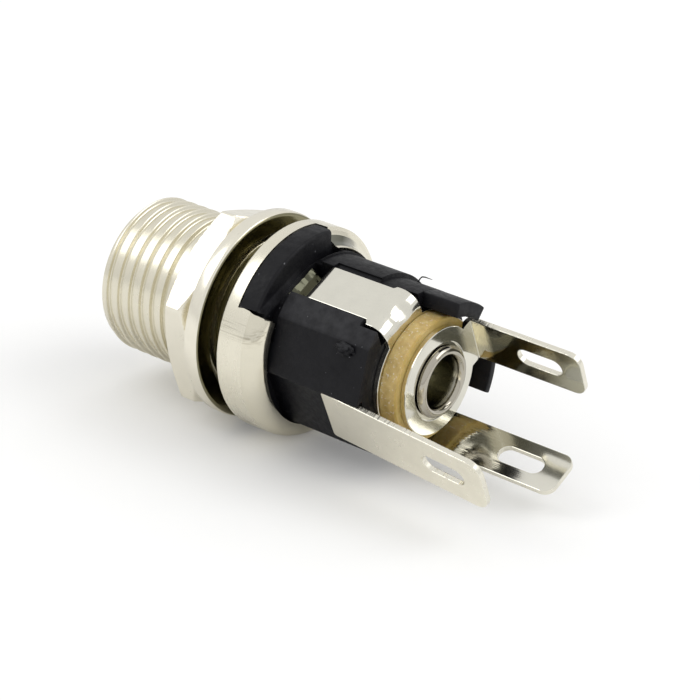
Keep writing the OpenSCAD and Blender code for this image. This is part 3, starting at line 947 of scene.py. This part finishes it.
def make_centre_pin(mats):
    head_r, rim_h = 2.45, 0.4           # collar inside the body, and height of the rolled rim
    rim_r, rim_w = (RIVET_RIM_R + RIVET_BORE_R) / 2, (RIVET_RIM_R - RIVET_BORE_R) / 2
    rim = arc_profile(rim_r, RIM_TOP_X - rim_h, rim_w, rim_h, 0, math.pi, 17)
    bore = [(RIVET_BORE_R - 0.03, RING_X1), (RIVET_BORE_R - 0.10, 12.4), (RIVET_BORE_R - 0.18, 11.6),
            (RIVET_BORE_R - 0.45, 10.6), (0.9, 10.0), (0.4, 9.75), (0.01, 9.7)]
    tip = [(0.01, PIN_X), (0.35, PIN_X + 0.02), (0.6, PIN_X + 0.12), (0.86, PIN_X + 0.35),
           (0.99, PIN_X + 0.62), (PIN_R, PIN_X + 0.95)]
    shank = [(PIN_R, HEAD_X0), (head_r, HEAD_X0), (head_r, HEAD_X1), (SHANK_R, HEAD_X1), (SHANK_R, RING_X1),
             (RIVET_RIM_R - 0.02, RING_X1)]
    # the inside of the rolled rim's bore takes painted shade
    obj = add_piece("centre_pin", [lathe(tip + shank + rim + bore, steps=128)], mats, 40,
                    lambda c, n: c.x > 9 and math.hypot(c.y, c.z) < RIVET_BORE_R - 0.005)
    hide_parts("centre_pin")


# ---- floor, light and camera ----
def camera_ray(tree):
    """1 for what the camera sees directly and 0 for what lights or mirrors."""
    return tree.nodes.new("ShaderNodeLightPath").outputs["Is Camera Ray"]


def floor_material():
    """Matt white that keeps the shadow, with a faint glow for the camera alone."""
    mat = bpy.data.materials.new("floor")
    mat.use_nodes = True
    tree = mat.node_tree
    tree.nodes.remove(tree.nodes["Principled BSDF"])
    diffuse = tree.nodes.new("ShaderNodeBsdfDiffuse")
    diffuse.inputs["Color"].default_value = (0.92, 0.92, 0.915, 1)
    scale = tree.nodes.new("ShaderNodeMath")
    scale.operation = "MULTIPLY"
    scale.inputs[1].default_value = 0.08
    glow = tree.nodes.new("ShaderNodeEmission")
    add = tree.nodes.new("ShaderNodeAddShader")
    tree.links.new(camera_ray(tree), scale.inputs[0])
    tree.links.new(scale.outputs[0], glow.inputs["Strength"])
    tree.links.new(diffuse.outputs[0], add.inputs[0])
    tree.links.new(glow.outputs[0], add.inputs[1])
    tree.links.new(add.outputs[0], tree.nodes["Material Output"].inputs["Surface"])
    return mat


def make_floor():
    """A sheet that lies just under the jack."""
    size, gap = 1.5, 1e-5
    low = min(corner[2] for corner in CAD_BOX) - gap
    bm = bmesh.new()
    bmesh.ops.create_grid(bm, x_segments=8, y_segments=8, size=size, matrix=Matrix.Translation((0, 0, low)))
    mesh = bpy.data.meshes.new("floor")
    bm.to_mesh(mesh)
    bm.free()
    mesh.materials.append(floor_material())
    obj = bpy.data.objects.new("floor", mesh)
    bpy.context.scene.collection.objects.link(obj)


def make_world():
    """A white tent: bright overhead, duller at the horizon, white for the camera."""
    world = bpy.data.worlds.new("tent")
    bpy.context.scene.world = world
    world.use_nodes = True
    tree = world.node_tree
    coord = tree.nodes.new("ShaderNodeTexCoord")
    split = tree.nodes.new("ShaderNodeSeparateXYZ")
    ramp = tree.nodes.new("ShaderNodeValToRGB")
    tree.links.new(coord.outputs["Generated"], split.inputs[0])
    tree.links.new(split.outputs["Z"], ramp.inputs["Fac"])
    stops = ramp.color_ramp.elements
    stops[0].position, stops[1].position = 0.0, 0.95
    stops.new(0.15)
    for stop, grey in zip(stops, (0.68, 0.82, 0.86)):
        stop.color = (grey, grey, grey, 1)
    mix = tree.nodes.new("ShaderNodeMix")
    mix.data_type = "RGBA"
    mix.inputs[7].default_value = (1, 1, 1, 1)
    tree.links.new(camera_ray(tree), mix.inputs["Factor"])
    tree.links.new(ramp.outputs[0], mix.inputs[6])
    tree.links.new(mix.outputs[2], tree.nodes["Background"].inputs["Color"])


def make_lamp(name, direction, distance, size, radiance):
    """A square soft lamp that faces the jack, set by the radiance of its face."""
    lamp = bpy.data.lights.new(name, "AREA")
    lamp.shape, lamp.size = "SQUARE", size
    lamp.energy = radiance * math.pi * size * size
    obj = bpy.data.objects.new(name, lamp)
    d = Vector(direction).normalized()
    obj.location = d * distance
    obj.rotation_euler = d.to_track_quat("Z", "Y").to_euler()
    bpy.context.scene.collection.objects.link(obj)


# the camera: place, its axes to the right, down and forward, and focal length in mm
CAMERA_AT = (0.0845283, -0.1062522, 0.0589572)
CAMERA_RIGHT = (0.7829609, 0.6187064, 0.0646114)
CAMERA_DOWN = (0.2997526, -0.2842275, -0.9106938)
CAMERA_FORWARD = (-0.5450878, 0.7324050, -0.4079978)
CAMERA_LENS = 113.136171


def make_camera():
    cam = bpy.data.cameras.new("camera")
    cam.sensor_width, cam.sensor_fit = 36, "HORIZONTAL"
    cam.lens = CAMERA_LENS
    cam.clip_start, cam.clip_end = 0.005, 10
    obj = bpy.data.objects.new("camera", cam)
    turn = Matrix((CAMERA_RIGHT, -Vector(CAMERA_DOWN), -Vector(CAMERA_FORWARD))).transposed()
    obj.matrix_world = Matrix.Translation(CAMERA_AT) @ turn.to_4x4()
    bpy.context.scene.collection.objects.link(obj)
    bpy.context.scene.camera = obj


# ---- the scene ----
# painted reflection and shade: what the pieces mirror of the tent round the jack, and the shade down the
# rivet bore, as tones along an own axis: (place, colour)
HOLLOW_PAINTED_REFLECTION = ((2.6, PLATE), (3.6, (0.40, 0.39, 0.34)), (4.3, (0.13, 0.13, 0.10)), (5.4, (0.22, 0.22, 0.18)))
ROOT_PAINTED_REFLECTION = ((11.2, (0.36, 0.36, 0.31)), (13.4, (0.56, 0.55, 0.49)), (14.5, (0.76, 0.74, 0.66)),
              (LUG_B_X, (0.79, 0.77, 0.68)))
BORE_PAINTED_SHADE = ((10.5, (0.42, 0.41, 0.30)), (11.6, (0.26, 0.25, 0.18)), (12.3, (0.26, 0.25, 0.19)),
              (12.9, (0.36, 0.35, 0.30)))
LUG_PAINTED_REFLECTION = ((13.0, (0.72, 0.70, 0.61)), (13.7, (0.60, 0.58, 0.50)), (14.2, (0.11, 0.11, 0.09)),
             (17.0, (0.13, 0.13, 0.11)), (19.2, (0.40, 0.39, 0.33)), (21.0, (0.52, 0.51, 0.42)))

satin_plate = nickel("nickel satin", (0.20, 0.30), (0.80, 0.76, 0.63), RIM_BRUSH, 0.003, dirt=0.3)
turned_plate = nickel("nickel turned", (0.22, 0.32), (0.83, 0.79, 0.66), RIM_BRUSH, dirt=0.2,
                      streak=(4.6, 5.2))
shaded_plate = nickel("nickel in shade", (0.10, 0.22), (0.26, 0.24, 0.15), dirt=1.0)
rolled_plate = nickel("nickel rolled", (0.09, 0.16), dirt=0.3, streak=(4.4, 4.9))
# painted reflection of the black key in the far lobe's hollow, darker with height
hollow_reflection_plate = nickel("nickel hollow, painted reflection", (0.07, 0.13), tones=HOLLOW_PAINTED_REFLECTION, axis="Z")
nut_plate = nickel("nickel nut", (0.18, 0.28), (0.88, 0.84, 0.72), dirt=0.3)
strip_plate = nickel("nickel strip", (0.14, 0.20), (0.79, 0.77, 0.68), dirt=0.3, wave=0.012)
sheared_plate = nickel("nickel sheared", (0.20, 0.34), (0.84, 0.81, 0.70), CUT_BRUSH, 0.045)
# painted shade: the tab down in the window is nearly black
window_shade_plate = nickel("nickel in the window, painted shade", (0.12, 0.2), (0.10, 0.10, 0.07))
# painted reflection: the lower lug is dark at its root and lightens towards its tip
root_reflection_plate = nickel("nickel lug root, painted reflection", (0.07, 0.12), wave=0.005, tones=ROOT_PAINTED_REFLECTION)
sheet_plate = nickel("nickel sheet", (0.07, 0.12), (0.77, 0.75, 0.66), dirt=0.3, wave=0.005)
# painted reflection: the far lug's inner face is dark in its middle and lighter at the bend and the tip
lug_reflection_plate = nickel("nickel lug face, painted reflection", (0.06, 0.12), tones=LUG_PAINTED_REFLECTION)
pale_plate = nickel("nickel pale", (0.26, 0.34), (0.90, 0.86, 0.73), dirt=0.4)
bright_plate = nickel("nickel bright", (0.08, 0.14), (0.48, 0.45, 0.38), dirt=0.2, wave=0.008)
# painted shade down the rivet bore, darkest in its middle
bore_shade_plate = nickel("nickel bore, painted shade", (0.12, 0.22), tones=BORE_PAINTED_SHADE)
fibre_edge = fibre("fibre edge", (0.62, 0.46, 0.18), (0.50, 0.35, 0.12), 0.55)
fibre_face = fibre("fibre face", (0.54, 0.39, 0.12), (0.47, 0.33, 0.09), 0.06, 0.35)

make_bush([satin_plate, turned_plate, shaded_plate, rolled_plate, hollow_reflection_plate])
make_nut([nut_plate, shaded_plate])
make_body([black_plastic()])
make_sleeve_contact([strip_plate, sheared_plate, window_shade_plate, root_reflection_plate])
make_pin_terminal([sheet_plate, sheared_plate, lug_reflection_plate])
make_shunt_terminal([pale_plate, sheared_plate])
make_washer([fibre_edge, fibre_face])
make_centre_pin([bright_plate, bore_shade_plate])

make_floor()
make_world()
make_lamp("left_box", (-0.62, -0.50, 0.78), 0.5, 0.26, 1.5)
make_lamp("right_box", (0.60, 0.42, 0.73), 0.6, 0.36, 1.8)
make_camera()
bpy.context.scene.view_settings.view_transform = "Standard"
